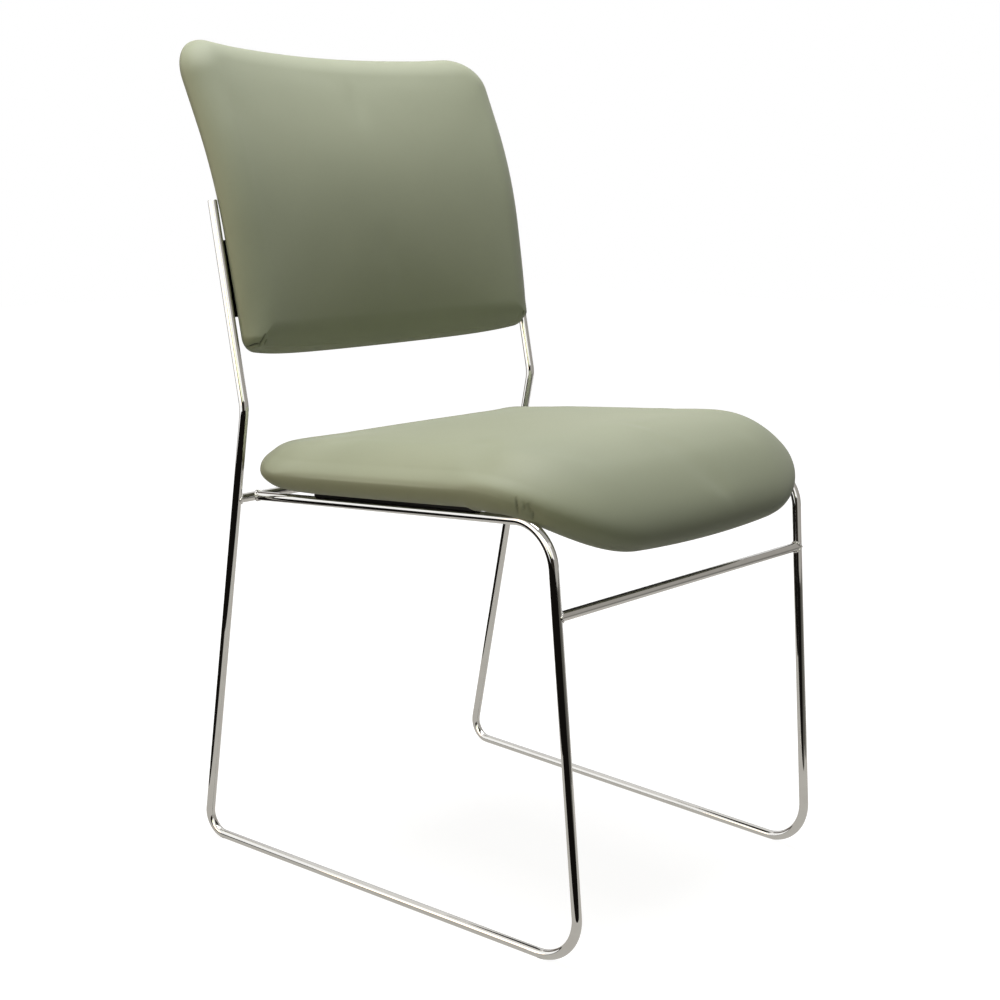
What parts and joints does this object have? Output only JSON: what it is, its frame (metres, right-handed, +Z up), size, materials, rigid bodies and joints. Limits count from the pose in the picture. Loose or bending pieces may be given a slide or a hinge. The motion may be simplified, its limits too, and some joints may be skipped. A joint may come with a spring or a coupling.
{
  "type": "sled base visitor chair",
  "caption": "Stackable visitor chair with a padded seat and back on a bent chrome rod sled base.",
  "frame": {"origin": "on the floor, under the middle of the whole chair's box", "axes": "+Z up, the chair faces -Y, +X is to the sitter's left"},
  "size_m": [0.446, 0.564, 0.8465],
  "materials": {
    "chrome_rod": "mirror polished chrome plate",
    "black_steel": "semi-matt black powder coat",
    "vinyl": "smooth sage green upholstery vinyl",
    "plywood": "bare moulded plywood",
    "base_cloth": "black non-woven dust cloth",
    "zinc": "zinc plated"
  },
  "bodies": {
    "root": {"right_side_rod": "chrome_rod", "left_side_rod": "chrome_rod", "rear_cross_rod": "chrome_rod", "front_stretcher": "chrome_rod", "right_seat_plate": "black_steel", "left_seat_plate": "black_steel", "right_back_plate": "black_steel", "left_back_plate": "black_steel", "seat_cushion": "vinyl", "back_cushion": "vinyl", "back_rear_panel": "vinyl", "seat_board": "plywood", "back_board": "plywood", "seat_base_cloth": "base_cloth", "right_rear_seat_screw": "zinc", "right_front_seat_screw": "zinc", "left_rear_seat_screw": "zinc", "left_front_seat_screw": "zinc", "right_rear_seat_tee_nut": "zinc", "right_front_seat_tee_nut": "zinc", "left_rear_seat_tee_nut": "zinc", "left_front_seat_tee_nut": "zinc", "right_lower_back_screw": "zinc", "right_upper_back_screw": "zinc", "left_lower_back_screw": "zinc", "left_upper_back_screw": "zinc", "right_lower_back_tee_nut": "zinc", "right_upper_back_tee_nut": "zinc", "left_lower_back_tee_nut": "zinc", "left_upper_back_tee_nut": "zinc"}
  },
  "joints": []
}
